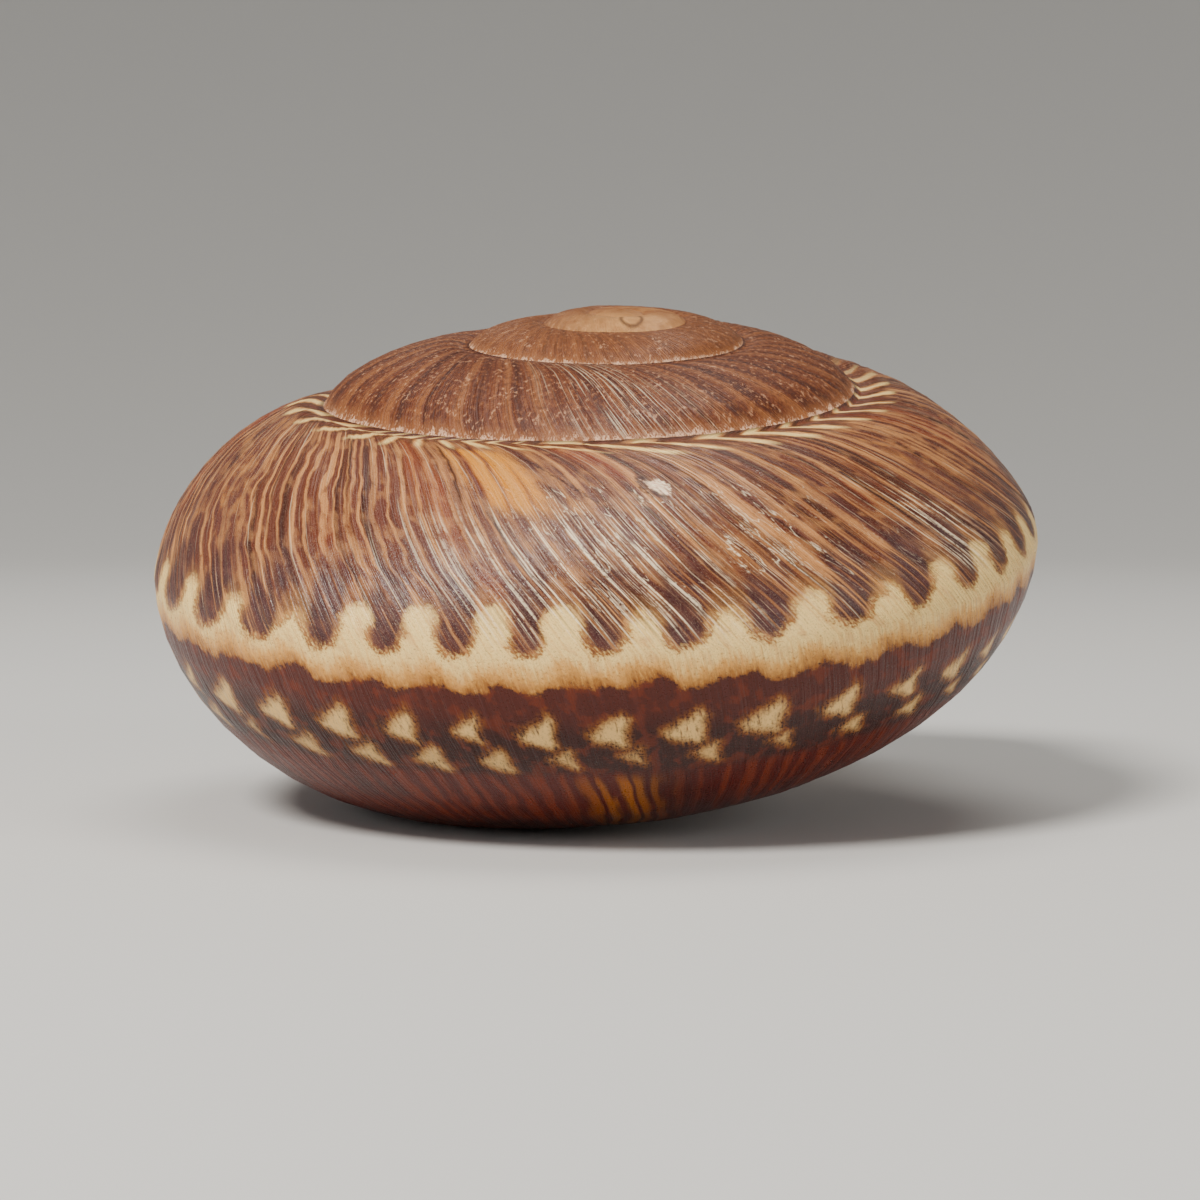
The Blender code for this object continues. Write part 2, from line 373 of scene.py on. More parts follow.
def shellArrays():
    # All vertices, triangles and pattern coordinates of the shell.
    rows = acrossRows()
    contact = grid["topRows"]
    hinge = contact + grid["sideRows"] // 3
    seam = len(rows) - 2
    ledge = seam - 1
    last = len(rows) - 1
    wide, fine = grid["wideStep"], grid["fineStep"]
    lastAngle, back = form["lastAngle"], grid["sutureTurn"]
    joint = lastAngle - back
    closed = form["umbilicusStart"] * 360 + form["baseLag"]
    wideGrowth = np.arange(round(joint / wide) + 1) * wide
    fineGrowth = joint + np.arange(round(back / fine) + 1) * fine
    spaceGrowth = np.arange(round(grid["spaceAngle"] / wide) + 1) * wide
    spaceGrowth = lastAngle - grid["spaceAngle"] + spaceGrowth

    def outerBand(growth):
        g, a = np.meshgrid(growth, rows, indexing="ij")
        points = outerPoint(g, a)
        points[:, 0] = outerPoint(growth - back, np.full_like(growth, 1.0))
        points[:, last] = outerPoint(growth - 360, np.full_like(growth, rows[seam]))
        points[growth <= back, 0] = [0.0, 0.0, -form["tipDrop"]]
        points[growth <= closed, seam] = [0.0, 0.0, form["umbilicusTop"]]
        points[growth - 360 <= closed, last] = [0.0, 0.0, form["umbilicusTop"]]
        return g, a, points

    wideBand = outerBand(wideGrowth)
    fineBand = outerBand(fineGrowth)
    g, a = np.meshgrid(spaceGrowth, rows, indexing="ij")
    points = innerPoint(g, a)
    points[:, 0] = outerPoint(spaceGrowth - back, np.full_like(spaceGrowth, rows[hinge]))
    points[:, last] = outerPoint(spaceGrowth - 360, np.full_like(spaceGrowth, rows[ledge]))
    spaceBand = (g, a, points)

    # The lip is a rounded edge between the last columns of the outside and the inside.
    outerEdge, innerEdge = fineBand[2][-1], spaceBand[2][-1]
    ahead = fineBand[2][-1] - fineBand[2][-2]
    ahead /= np.linalg.norm(ahead, axis=1, keepdims=True) + 1e-12
    across = np.linalg.norm(outerEdge - innerEdge, axis=1, keepdims=True)
    turn = np.linspace(0, math.pi, grid["lipRows"] + 1)[1:-1, None, None]
    lip = (outerEdge + innerEdge) / 2 + (outerEdge - innerEdge) / 2 * np.cos(turn)
    lip = lip + ahead * across * form["lipRounding"] * np.sin(turn)
    lip[:, 0] = fineBand[2][0, contact + 1]
    lip[:, last] = innerEdge[last]
    lipG = np.full(lip.shape[:2], lastAngle)
    lipA = np.tile(rows, (lip.shape[0], 1))

    # Copies of the suture and seam rows that carry the older whorl's place on the pattern.
    sutureRow = (fineGrowth - back, np.full_like(fineGrowth, 1.0), fineBand[2][:, 0])
    seamRow = (fineGrowth - 360, np.full_like(fineGrowth, rows[seam]), fineBand[2][:, last])
    bands = [wideBand, fineBand, spaceBand, (lipG, lipA, lip), sutureRow, seamRow]
    starts = np.cumsum([0] + [band[0].size for band in bands])
    index = [
        start + np.arange(band[0].size).reshape(band[0].shape)
        for start, band in zip(starts, bands)
    ]
    wideIndex, fineIndex, spaceIndex, lipIndex, sutureIndex, seamIndex = index

    def column(degrees):
        return round(degrees / wide)

    firstContact = column(joint - back)  # where the fine suture starts on the wide columns
    firstSeam = column(joint - 360)
    lastSeam = column(lastAngle - 360)
    opening = column(closed)
    spaceStart = column(spaceGrowth[0])

    faces = [
        quads(wideIndex, 0, contact, 0, firstContact),
        quads(wideIndex, 0, contact - 1, firstContact),
        stitched(wideIndex[firstContact:, contact - 1], sutureIndex, True),
        quads(fineIndex, 0, hinge),
        quads(fineIndex, hinge, seam),
        quads(fineIndex, seam, last),
        quads(wideIndex, hinge, ledge, spaceStart - column(back)),
        quads(wideIndex, ledge, seam, lastSeam),
        quads(wideIndex, seam, last, opening, firstSeam),
        quads(wideIndex, seam, last, lastSeam),
        stitched(wideIndex[firstSeam : lastSeam + 1, last], seamIndex, False),
        quads(spaceIndex, 0, last)[:, ::-1],
        quads(np.concatenate([fineIndex[-1:], lipIndex, spaceIndex[-1:]]), 0, last),
    ]

    # The far end of the space, closed by a fan.
    turnBefore, sutureBefore = spaceStart - column(360), spaceStart - column(back)
    loop = [
        spaceIndex[0, :-1],
        wideIndex[turnBefore : sutureBefore + 1, ledge],
        wideIndex[sutureBefore, hinge + 1 : ledge][::-1],
    ]
    loop = np.concatenate(loop)
    centre = starts[-1]
    faces.append(np.stack([np.roll(loop, -1), loop, np.full(len(loop), centre)], axis=-1))

    points = np.concatenate([band[2].reshape(-1, 3) for band in bands])
    growth = np.concatenate([band[0].ravel() for band in bands])
    where = np.concatenate([band[1].ravel() for band in bands])
    points = np.concatenate([points, points[loop].mean(axis=0)[None]])
    growth = np.append(growth, spaceGrowth[0])
    where = np.append(where, 2.0)
    inside = np.zeros(len(points))
    inside[starts[2] : starts[4]] = 1
    inside[-1] = 1
    return points, np.concatenate(faces), growth, where, inside


def leaned(points):
    # Turned forward and then to the right, from the axis of coiling to how the shell rests.
    turn = Matrix.Rotation(math.radians(form["leanForward"]), 3, "X")
    turn = Matrix.Rotation(math.radians(form["leanRight"]), 3, "Y") @ turn
    return points @ np.array(turn).T


def arcTable():
    # Distance across the whorl from the suture, as if every whorl had the same radius.
    turns = np.linspace(0.02, 5.2, 260)
    across = np.linspace(0, 4, 161)
    t, a = np.meshgrid(turns, across, indexing="ij")
    r, z = section(t, a)
    steps = np.hypot(np.diff(r, axis=1), np.diff(z, axis=1))
    reach = np.concatenate([np.zeros((len(turns), 1)), np.cumsum(steps, axis=1)], axis=1)
    return turns, across, reach * form["mapRadius"] / np.maximum(radius(t), 0.3)


def looked(table, t, across):
    # Straight-line reading of the table at any turns and place across.
    turns, places, reach = table
    i = np.clip((t - turns[0]) / (turns[1] - turns[0]), 0, len(turns) - 1.001)
    j = np.clip(across / (places[1] - places[0]), 0, len(places) - 1.001)
    i0, j0 = i.astype(int), j.astype(int)
    fi, fj = i - i0, j - j0
    low = reach[i0, j0] * (1 - fj) + reach[i0, j0 + 1] * fj
    high = reach[i0 + 1, j0] * (1 - fj) + reach[i0 + 1, j0 + 1] * fj
    return low * (1 - fi) + high * fi


def closeTip(work, tip):
    # Takes out the crowded faces round the tip and closes the hole.
    if tip is None:
        return
    near = [v for v in work.verts if (v.co - Vector(tip)).length < grid["tipHole"] * mm]
    bmesh.ops.delete(work, geom=near, context="VERTS")
    edges = [e for e in work.edges if len(e.link_faces) == 1]
    filled = bmesh.ops.holes_fill(work, edges=edges, sides=0)
    bmesh.ops.triangulate(work, faces=filled["faces"])


def makePiece(name, points, faces, maps, tip=None):
    # A mesh object with pattern maps on its corners, doubles welded.
    mesh = bpy.data.meshes.new(name)
    mesh.vertices.add(len(points))
    mesh.vertices.foreach_set("co", points.astype(np.float32).ravel())
    mesh.loops.add(len(faces) * 3)
    mesh.loops.foreach_set("vertex_index", faces.astype(np.int32).ravel())
    mesh.polygons.add(len(faces))
    mesh.polygons.foreach_set("loop_start", np.arange(len(faces), dtype=np.int32) * 3)
    mesh.update(calc_edges=True)
    for title, values in maps.items():
        layer = mesh.uv_layers.new(name=title)
        layer.data.foreach_set("uv", values[faces.ravel()].astype(np.float32).ravel())
    work = bmesh.new()
    work.from_mesh(mesh)
    bmesh.ops.remove_doubles(work, verts=work.verts, dist=grid["weldDistance"])
    closeTip(work, tip)
    loose = [v for v in work.verts if not v.link_faces]
    bmesh.ops.delete(work, geom=loose, context="VERTS")
    for face in work.faces:
        face.smooth = True
    print(name, "open edges:", sum(1 for e in work.edges if len(e.link_faces) != 2))
    work.to_mesh(mesh)
    work.free()
    piece = bpy.data.objects.new(name, mesh)
    bpy.context.scene.collection.objects.link(piece)
    return piece


def buildShell():
    points, faces, growth, where, inside = shellArrays()
    t = growth / 360 - lean(where) / 360
    table = arcTable()
    fromSuture = looked(table, t, where)
    fromPeriphery = looked(table, t, np.full_like(t, 2.0)) - fromSuture
    points = leaned(points)
    low, high = points.min(axis=0), points.max(axis=0)
    shift = (low + high) / 2
    shift[2] = low[2] + form["wornDepth"]
    points = points - shift
    points[:, 2] = np.maximum(points[:, 2], 0.0)
    tip = (leaned(np.array([[0.0, 0.0, -form["tipDrop"]]])) - shift)[0] * mm
    # Distance above the line where the next whorl sits, far where none does, and minus inside.
    farAway = 30.0
    fromContact = looked(table, t, np.ones_like(t)) - fromSuture
    isCovered = growth < form["lastAngle"] - grid["sutureTurn"] - 0.01
    fromContact = np.where(isCovered, fromContact, farAway)
    fromContact = np.where(inside > 0, -farAway, fromContact)
    maps = {
        "growth": np.stack([growth, fromPeriphery], axis=1),
        "reach": np.stack([fromSuture, fromContact], axis=1),
    }
    return makePiece("shellSurface", points * mm, faces, maps, tip), shift


shell, shift = buildShell()
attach(shell, "root")
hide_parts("shell")
print("shell:", len(shell.data.polygons), "triangles")


class Wire:
    # Wraps a socket. Arithmetic on it adds Math nodes, and node() adds any other kind.
    def __init__(self, tree, socket=None):
        self.tree = tree
        self.socket = socket

    def node(self, kind, settings=(), inputs=(), output=0):
        # Settings go first, then values or links of the sockets, by name or number.
        made = self.tree.nodes.new("ShaderNode" + kind)
        for name, value in dict(settings).items():
            setattr(made, name, value)
        for name, value in dict(inputs).items():
            if isinstance(value, Wire):
                self.tree.links.new(value.socket, made.inputs[name])
            else:
                made.inputs[name].default_value = value
        return Wire(self.tree, made.outputs[output])

    def maths(self, operation, *values):
        return self.node("Math", {"operation": operation}, dict(enumerate(values)))

    def __add__(self, other):
        return self.maths("ADD", self, other)

    def __sub__(self, other):
        return self.maths("SUBTRACT", self, other)

    def __rsub__(self, other):
        return self.maths("SUBTRACT", other, self)

    def __mul__(self, other):
        return self.maths("MULTIPLY", self, other)

    def __truediv__(self, other):
        return self.maths("DIVIDE", self, other)

    __radd__ = __add__
    __rmul__ = __mul__


def shade(red, green, blue):
    # A colour as seen on screen, 0 to 255, made linear.
    parts = np.array([red, green, blue]) / 255
    linear = np.where(parts <= 0.04045, parts / 12.92, ((parts + 0.055) / 1.055) ** 2.4)
    return (*linear.tolist(), 1.0)


def step(x, low, high, most=1.0):
    # Smooth step from 0 at low to most at high.
    values = {"Value": x, "From Min": low, "From Max": high, "To Max": most}
    if low > high:
        values.update({"From Min": high, "From Max": low, "To Min": most, "To Max": 0.0})
    return x.node("MapRange", {"interpolation_type": "SMOOTHSTEP"}, values)


def root(x):
    return x.maths("SQRT", x)


def mixed(first, second, amount):
    # The first colour where amount is 0, and the second where it is 1. Colours are sockets 6 and 7.
    return amount.node("Mix", {"data_type": "RGBA"}, {0: amount, 6: first, 7: second}, 2)


def noise(x, y, scale=1.0, detail=2.0, roughness=0.5):
    # Blotches from about 0 to 1 over two coordinates.
    at = x.node("CombineXYZ", {}, {0: x, 1: y})
    values = {"Vector": at, "Scale": scale, "Detail": detail, "Roughness": roughness}
    return x.node("TexNoise", {"noise_dimensions": "2D"}, values)


def hill(x, centre, width, most=1.0):
    # The most at the centre, and 0 a width away on both sides.
    away = x - centre
    return step(away.maths("ABSOLUTE", away), width, 0.0, most)


def smallest(*values):
    result = values[0]
    for value in values[1:]:
        result = result.maths("MINIMUM", result, value)
    return result


def largest(*values):
    result = values[0]
    for value in values[1:]:
        result = result.maths("MAXIMUM", result, value)
    return result


def ramp(x, low, high, first, second):
    # A straight slope from first at low to second at high, level outside them.
    values = {"Value": x, "From Min": low, "From Max": high, "To Min": first, "To Max": second}
    return x.node("MapRange", {}, values)


def cell(phase):
    # Whole number of the nearest cell, and the distance from its middle in cells.
    whole = phase.maths("ROUND", phase)
    return whole, phase - whole


def chance(number, salt):
    # A random number from 0 to 1 for each whole number.
    return number.node("TexWhiteNoise", {"noise_dimensions": "1D"}, {"W": number + salt})


def waves(x, length):
    # A smooth wave of that length, from 0 to 1.
    turned = x * (2 * math.pi / length)
    return turned.maths("SINE", turned) * 0.5 + 0.5


def beyond(x, y, first, second):
    # Distance from the line through two points, above 0 on its left-hand side.
    dx, dy = second[0] - first[0], second[1] - first[1]
    size = math.hypot(dx, dy)
    return x * (-dy / size) + y * (dx / size) + (first[0] * dy - first[1] * dx) / size


def arrowSpot(x, y, tip, top, foot, hollow, reachOut):
    # A triangle that points along growth, by the smallest distance to its three sides and to a
    # circle that rounds its corners. Its back is hollowed by a shallow parabola.
    upper = beyond(x, y, tip, top)
    lower = beyond(x, y, foot, tip)
    back = beyond(x, y, top, foot)
    middleY = (top[1] + foot[1]) / 2
    half = (top[1] - foot[1]) / 2
    offY = y - middleY
    share = offY / half
    back = back - (1.0 - share * share) * hollow
    return smallest(upper, lower, back, reachOut - root(x * x + offY * offY))


# Pattern sizes in millimetres on a whorl of 26 mm radius, and in degrees of growth.
pattern = {
    "period": 9.594,
    "firstFinger": 1653.6,
    "warp": 1.9,
    "warpCentre": 1590.0,
    "warpLength": 86.0,
    "mmPerDegree": 0.4538,
    "fingerLean": 0.8,
    "tongueAt": 0.75,
    "bandLow": -1.6,
    "rowOne": -4.3,
    "rowTwo": -6.55,
    "baseFrom": -7.6,
    "evenStripeEvery": 2.45,
    "baseStripeEvery": 2.8,
    "spireStripeEvery": 9.6,
    "sutureMarkEvery": 9.4,
    "sutureMarkLength": 1.8,
    "sutureMarksFrom": 1380.0,
}

# Single marks: places in degrees of growth and millimetres above the periphery, but the ring's
# in millimetres on the plan of the resting shell. The parts with painted glint streaks, the worn
# part of the spire and the scratched part are places with half widths.
marks = {
    "goldAt": 1595.8,
    "goldHalfWidth": 7.6,
    "goldenBaseAt": 1600.0,
    "chipAt": (1573.0, 9.7),
    "scarAt": (1601.2, 12.6),
    "secondScarAt": (1588.0, 12.0),
    "ringAt": (2.3, -7.3),
    "ringRadii": (0.62, 0.95),
    # Places of the painted glint streaks.
    "wornFront": (1594.0, 34.0),
    "wornRight": (1540.5, 9.0),
    "wornMiddle": (1574.0, 16.0),
    "wornSpire": (1222.0, 26.0),
    "scratched": (1576.0, 40.0),
    "youngFrom": (1490.0, 1440.0),
    "tipUntil": (700.0, 430.0),
}

finish = {
    "roughness": 0.33,
    "youngDuller": 0.10,
    "crustDuller": 0.25,
    "specular": 0.34,
    "bumpStrength": 0.6,
    "bumpDistance": 0.00016,
}

colours = {
    "ground": shade(98, 46, 28),
    "groundDark": shade(58, 24, 16),
    "stripe": shade(198, 136, 80),
    "gold": shade(206, 128, 0),
    "mauve": shade(84, 44, 44),
    "rust": shade(126, 48, 12),
    "finger": shade(60, 30, 34),
    "ochre": shade(140, 80, 14),
    "cream": shade(248, 212, 134),
    "creamLow": shade(214, 154, 76),
    "band": shade(76, 24, 12),
    "bandDeep": shade(50, 14, 7),
    "spot": shade(232, 190, 120),
    "base": shade(80, 15, 1),
    "baseStripe": shade(120, 44, 8),
    "spire": shade(102, 52, 28),
    "spireStripe": shade(150, 94, 52),
    "tip": shade(230, 172, 108),
    # Pale wear, and also the painted glints on the ribs.
    "worn": shade(252, 232, 196),
    "crust": shade(222, 176, 142),
    "inside": shade(222, 206, 192),
    "lip": shade(206, 168, 124),
}


def shellMaterial():
    material = bpy.data.materials.new("shell")
    material.use_nodes = True
    tree = material.node_tree
    surface = tree.nodes["Principled BSDF"]
    start = Wire(tree)
    growthMap = start.node("UVMap", {"uv_map": "growth"})
    reachMap = start.node("UVMap", {"uv_map": "reach"})
    growth = growthMap.node("SeparateXYZ", {}, {0: growthMap}, 0)
    up = growthMap.node("SeparateXYZ", {}, {0: growthMap}, 1)
    down = reachMap.node("SeparateXYZ", {}, {0: reachMap}, 0)
    contact = reachMap.node("SeparateXYZ", {}, {0: reachMap}, 1)
    along = growth * pattern["mmPerDegree"]

    # Slow, middling and fine unevenness over the surface, from 0 to 1.
    slow = noise(along, up, 0.16, 2.0)
    middle = noise(along, up, 0.9, 2.0)
    speckle = noise(along, up, 6.0, 2.0, 0.6)
    grain = noise(along * 5.0, up * 1.2, 1.0, 2.0, 0.6)
    wobble = (middle - 0.5) * 0.7 + (speckle - 0.5) * 0.4

    turned = (growth - pattern["warpCentre"]) * (2 * math.pi / pattern["warpLength"])
    warped = growth - turned.maths("COSINE", turned) * pattern["warp"] - pattern["firstFinger"]
    phase = warped / pattern["period"]
    cellMm = pattern["period"] * pattern["mmPerDegree"]
    rise = ramp(growth, 1530.0, 1650.0, 0.9, -0.5)
    level = up - rise

    # Growth lines bow forward in the middle of the upper surface.
    bow = hill(up, 7.0, 7.0, 3.2)
    straight = (growth - bow * 0.4 + (slow - 0.5) * 0.8) * pattern["mmPerDegree"]
    zigzag = (noise(along * 0.3, up, 0.5, 2.0, 0.4) - 0.5) * 2.6
    line = growth - bow * 0.7 + (slow - 0.5) * 2.0 + zigzag * step(growth, 1575.0, 1625.0)
    lineMm = line * pattern["mmPerDegree"]
    stripeNoise = noise(lineMm, up * 0.035, 0.9, 2.0, 0.5)
    combNoise = noise(straight, up * 0.035, 3.2, 2.0, 0.7)

    # Upper surface: stripes along the growth lines on a reddish brown ground, even ones towards
    # the mouth and broader, less even ones before.
    even = waves(line + (stripeNoise - 0.5) * 3.0, pattern["evenStripeEvery"])
    older = ramp(growth, 1585.0, 1615.0, 0.0, 1.0)
    evenShare = step(even + (stripeNoise - 0.5) * 0.8, 0.58, 1.0)
    stripes = evenShare * older + step(stripeNoise, 0.46, 0.66) * (1.0 - older)
    upper = mixed(colours["groundDark"], colours["ground"], step(stripeNoise, 0.28, 0.46))
    upper = mixed(upper, colours["stripe"], stripes * step(middle, 0.1, 0.45, 0.85))
    combShare = 1.0 - older * 0.6
    upper = mixed(upper, colours["stripe"], step(combNoise, 0.54, 0.68) * combShare * 0.4)
    upper = mixed(upper, colours["groundDark"], step(combNoise, 0.48, 0.34) * combShare * 0.6)
    broad = noise(lineMm, up * 0.25, 0.22, 2.0, 0.6)
    rustShare = step(broad, 0.44, 0.3) * (0.35 + step(up, 5.0, 11.0, 0.3))
    upper = mixed(upper, colours["rust"], rustShare)
    mauveShare = step(broad, 0.5, 0.66) * (0.6 - step(up, 6.0, 12.0, 0.3))
    upper = mixed(upper, colours["mauve"], mauveShare)
    upper = mixed(upper, colours["stripe"], step(middle + slow * 0.6, 0.8, 1.05, 0.35))
    gold = hill(growth, marks["goldAt"], marks["goldHalfWidth"])
    gold = gold * step(up, 6.8, 10.4) * step(up, 12.9, 11.9)
    goldTone = mixed(colours["rust"], colours["gold"], step(stripeNoise, 0.3, 0.5))
    goldTone = mixed(goldTone, colours["creamLow"], stripes * 0.45)
    goldShare = step(gold + (broad - 0.5) * 0.8 + wobble * 0.4, 0.05, 0.6)
    goldShare = goldShare * (0.35 + step(stripeNoise, 0.3, 0.55, 0.55))
    upper = mixed(upper, goldTone, goldShare)

    # Dark fingers run down from the upper surface into the cream band, leaning back, with cream
    # tongues between them. Both are strips with round ends, by distance from their middle lines.
    leaning = phase + level * (pattern["fingerLean"] / cellMm) + (slow - 0.5) * 0.15
    fingerCell, fingerPart = cell(leaning)
    luck = chance(fingerCell, 0.5) - 0.5
    across = fingerPart.maths("ABSOLUTE", fingerPart) * cellMm
    tip = level - 0.1 - luck * 0.5
    halfWidth = 1.18 + luck * 0.45
    under = largest(1.1 - tip, 0.0)
    finger = halfWidth - root(across * across + under * under)
    tongueCell, tonguePart = cell(leaning + 0.5)
    tongueLuck = chance(tongueCell, 4.5) - 0.5
    beside = tonguePart.maths("ABSOLUTE", tonguePart) * cellMm
    above = largest(level - pattern["tongueAt"] - tongueLuck, 0.0) * 0.95
    tongue = root(beside * beside + above * above) - (1.15 - luck * 0.3)
    finger = largest(finger, smallest(tongue, tip - 0.8))
    finger = finger + wobble * 0.95 + (speckle - 0.5) * 0.25
    isUpper = step(finger, -0.22, 0.24)
    fingerShade = step(0.5 * cellMm - across, 0.5, 1.4) * step(level, 6.0, 2.8)
    fingerShade = largest(fingerShade, step(level, 3.0, 1.9, 0.6)) * step(finger, 0.0, 0.45)
    paler = step(level, 3.2, 1.4) * step(beside, 1.7, 0.3, 0.5)
    upper = mixed(upper, colours["creamLow"], paler)
    fingerTone = mixed(colours["finger"], colours["mauve"], step(middle, 0.35, 0.7, 0.7))
    upper = mixed(upper, fingerTone, fingerShade * step(combNoise, 0.72, 0.48, 0.9))

    # The cream band, ochre at its lower edge and around the finger tips.
    bandCell, bandPart = cell(phase + 0.25)
    scallop = waves(bandPart, 1.0) * 0.55 - 0.15 + (chance(bandCell, 9.5) - 0.5) * 0.35
    low = up - rise * 0.45 - pattern["bandLow"] + scallop + wobble * 1.5
    palest = step(low + (grain - 0.5) * 1.2, 0.5, 1.6)
    cream = mixed(colours["creamLow"], colours["cream"], palest)
    clouds = step(combNoise, 0.5, 0.7, 0.4) + step(speckle, 0.5, 0.75, 0.35)
    cream = mixed(cream, colours["creamLow"], clouds)
    flecks = step(middle, 0.55, 0.75, 0.35) + step(speckle, 0.4, 0.2, 0.4)
    cream = mixed(cream, colours["stripe"], flecks)
    rim = largest(step(low, 0.8, 0.0), step(finger, -0.42, -0.05) * step(tip, 2.6, 0.6))
    cream = mixed(cream, colours["ochre"], rim * step(grain + speckle, 0.6, 1.1, 0.95))

    # The dark band and the two rows of arrow-shaped spots.
    dark = mixed(colours["band"], colours["bandDeep"], step(up + wobble, -3.2, -5.2))
    dark = mixed(dark, colours["baseStripe"], step(middle + wobble * 0.4, 0.5, 0.7, 0.45))
    dark = mixed(dark, colours["mauve"], step(combNoise, 0.52, 0.7, 0.2))
    oneCell, onePart = cell(phase - ramp(growth, 1540.0, 1600.0, 0.36, 0.19))
    oneLuck = chance(oneCell, 7.5) - 0.5
    y = up - rise * 0.25 - pattern["rowOne"] + oneLuck * 0.35
    x = onePart * cellMm
    one = arrowSpot(x, y, (1.6, -0.45), (-1.5, 1.35), (-0.75, -1.35), 0.22, 1.3)
    twoCell, twoPart = cell(phase + ramp(growth, 1540.0, 1600.0, -0.12, 0.03))
    twoLuck = chance(twoCell, 3.5) - 0.5
    y = up - rise * 0.25 - pattern["rowTwo"] + twoLuck * 0.35
    x = twoPart * cellMm
    two = arrowSpot(x, y, (1.4, 0.1), (-1.0, 1.2), (-1.15, -1.2), 0.35, 1.1)
    spots = largest(one + oneLuck * 0.3, two - 0.1 + twoLuck * 0.4)
    spots = spots + wobble * 0.9 + (grain - 0.5) * 0.25
    halo = step(spots, -0.5, 0.1) * step(grain + speckle, 0.7, 1.1, 0.8)
    dark = mixed(dark, colours["ochre"], halo)
    spotShare = step(spots, -0.15, 0.6) * step(grain, 0.1, 0.45)
    dark = mixed(dark, colours["spot"], spotShare * (1.0 - step(up, -5.2, -6.0, 0.2)))

    # The base: reddish brown with lighter stripes along the growth lines.
    baseLine = growth + (slow - 0.5) * 5.0 + (stripeNoise - 0.5) * 2.5
    baseStripes = waves(baseLine, pattern["baseStripeEvery"]) * 0.6 + stripeNoise * 0.4
    base = mixed(colours["base"], colours["baseStripe"], step(baseStripes, 0.35, 0.8, 0.7))
    base = mixed(base, colours["bandDeep"], step(slow, 0.48, 0.32, 0.5))
    golden = hill(growth, marks["goldenBaseAt"], 9.0) * step(up, -7.6, -8.8)
    base = mixed(base, colours["gold"], golden * step(baseStripes, 0.2, 0.6, 0.35))

    # Put together from the top down.
    colour = mixed(cream, upper, isUpper)
    colour = mixed(dark, colour, step(low, -0.15, 0.15))
    isBase = step(up + wobble, pattern["baseFrom"] + 0.3, pattern["baseFrom"] - 0.6)
    colour = mixed(colour, base, isBase)

    # Fine streaks and scratches along the growth lines. The pale streaks are painted glints on the
    # ribs, with darker streaks beside them.
    streakNoise = noise(straight * 5.0, up * 0.12, 1.0, 2.0, 0.6)
    areas = largest(
        hill(growth + up * 0.6, *marks["wornFront"]) * step(up, -0.2, 2.0) * step(up, 10.0, 6.0),
        hill(growth, *marks["wornRight"]) * step(up, 1.0, 2.5) * step(up, 9.6, 8.4),
        hill(growth, *marks["wornMiddle"]) * step(up, 2.5, 4.0) * step(up, 9.6, 8.4, 0.8),
    )
    areas = areas * step(middle + slow, 0.7, 1.0) * step(up, -1.2, 0.4)
    # Painted highlight: pale streaks where the ribs would catch the light.
    streaks = step(streakNoise, 0.54, 0.66) * areas * step(speckle + middle * 0.5, 0.45, 0.75)
    colour = mixed(colour, colours["groundDark"], step(streakNoise, 0.46, 0.36) * areas * 0.5)
    colour = mixed(colour, colours["worn"], streaks * step(up, -1.0, 0.6, 0.8))
    dust = noise(along, up, 17.0, 2.0, 0.7)
    veins = hill(noise(straight * 0.8, up * 0.22, 0.9, 2.0, 0.6), 0.5, 0.012)
    scratches = veins * hill(growth, *marks["scratched"]) * step(up, 1.5, 3.0) * step(up, 10.5, 9.0)
    scratches = scratches * step(slow + speckle * 0.5, 0.62, 0.8)
    colour = mixed(colour, colours["worn"], scratches * step(speckle, 0.35, 0.55, 0.8))
    pits = step(speckle, 0.45, 0.25, 0.22)
    pits = pits + step(dust, 0.45, 0.25) * step(up, -2.5, 0.0, 0.35)
    colour = mixed(colour, colours["groundDark"], pits)
    colour = mixed(colour, colours["worn"], step(dust, 0.58, 0.78) * step(up, -2.0, 1.0, 0.3))
    rubbed = step(streakNoise, 0.66, 0.76) * step(contact, -1.0, 0.0) * step(up, -1.0, 1.0)
    colour = mixed(colour, colours["worn"], rubbed * 0.3)

    # Marks at the suture, cream and dark in turn. Away from it they run to the right on the right
    # of the front and to the left on its left, and less so towards the two sides.
    near = ramp(down, 0.0, 2.6, 1.0, 0.0)
    sweep = ramp(growth, 1545.0, 1582.0, -5.0, -19.0) + ramp(growth, 1582.0, 1618.0, 0.0, 43.0)
    sweep = sweep - ramp(growth, 1618.0, 1660.0, 0.0, 19.0)
    swept = growth + near * sweep + (middle - 0.5) * 1.4 + (slow - 0.5) * 2.0
    sutureCell, suturePart = cell(swept / pattern["sutureMarkEvery"])
    sutureLuck = chance(sutureCell, 1.5) - 0.5
    mark = suturePart.maths("ABSOLUTE", suturePart)
    mark = mark + sutureLuck * 0.12 + (speckle - 0.5) * 0.12
    sutureColour = mixed(colours["cream"], colours["stripe"], step(mark, 0.05, 0.17))
    sutureColour = mixed(sutureColour, colours["bandDeep"], step(mark, 0.14, 0.26, 0.9))
    sutureColour = mixed(sutureColour, colours["ground"], step(mark, 0.32, 0.46))
    longer = ramp(growth, 1562.0, 1594.0, 1.0, 0.0) + older * 0.6
    reachDown = down + mark * 1.2 + wobble * 0.6 - longer
    where = step(reachDown, pattern["sutureMarkLength"], pattern["sutureMarkLength"] - 0.7)
    where = where * step(growth, pattern["sutureMarksFrom"], pattern["sutureMarksFrom"] + 60.0)
    colour = mixed(colour, sutureColour, where * 0.9)

    # Noise over the object's own plan, because the maps are drawn small on the young whorls.
    at = start.node("TexCoord", {}, {}, 3)
    atX = at.node("SeparateXYZ", {}, {0: at}, 0) / mm
    atY = at.node("SeparateXYZ", {}, {0: at}, 1) / mm
    atZ = at.node("SeparateXYZ", {}, {0: at}, 2)
    tipGrain = noise(atX, atY, 0.9, 2.0, 0.6)
    spireGrain = noise(atX, atY, 3.2, 2.0, 0.75)

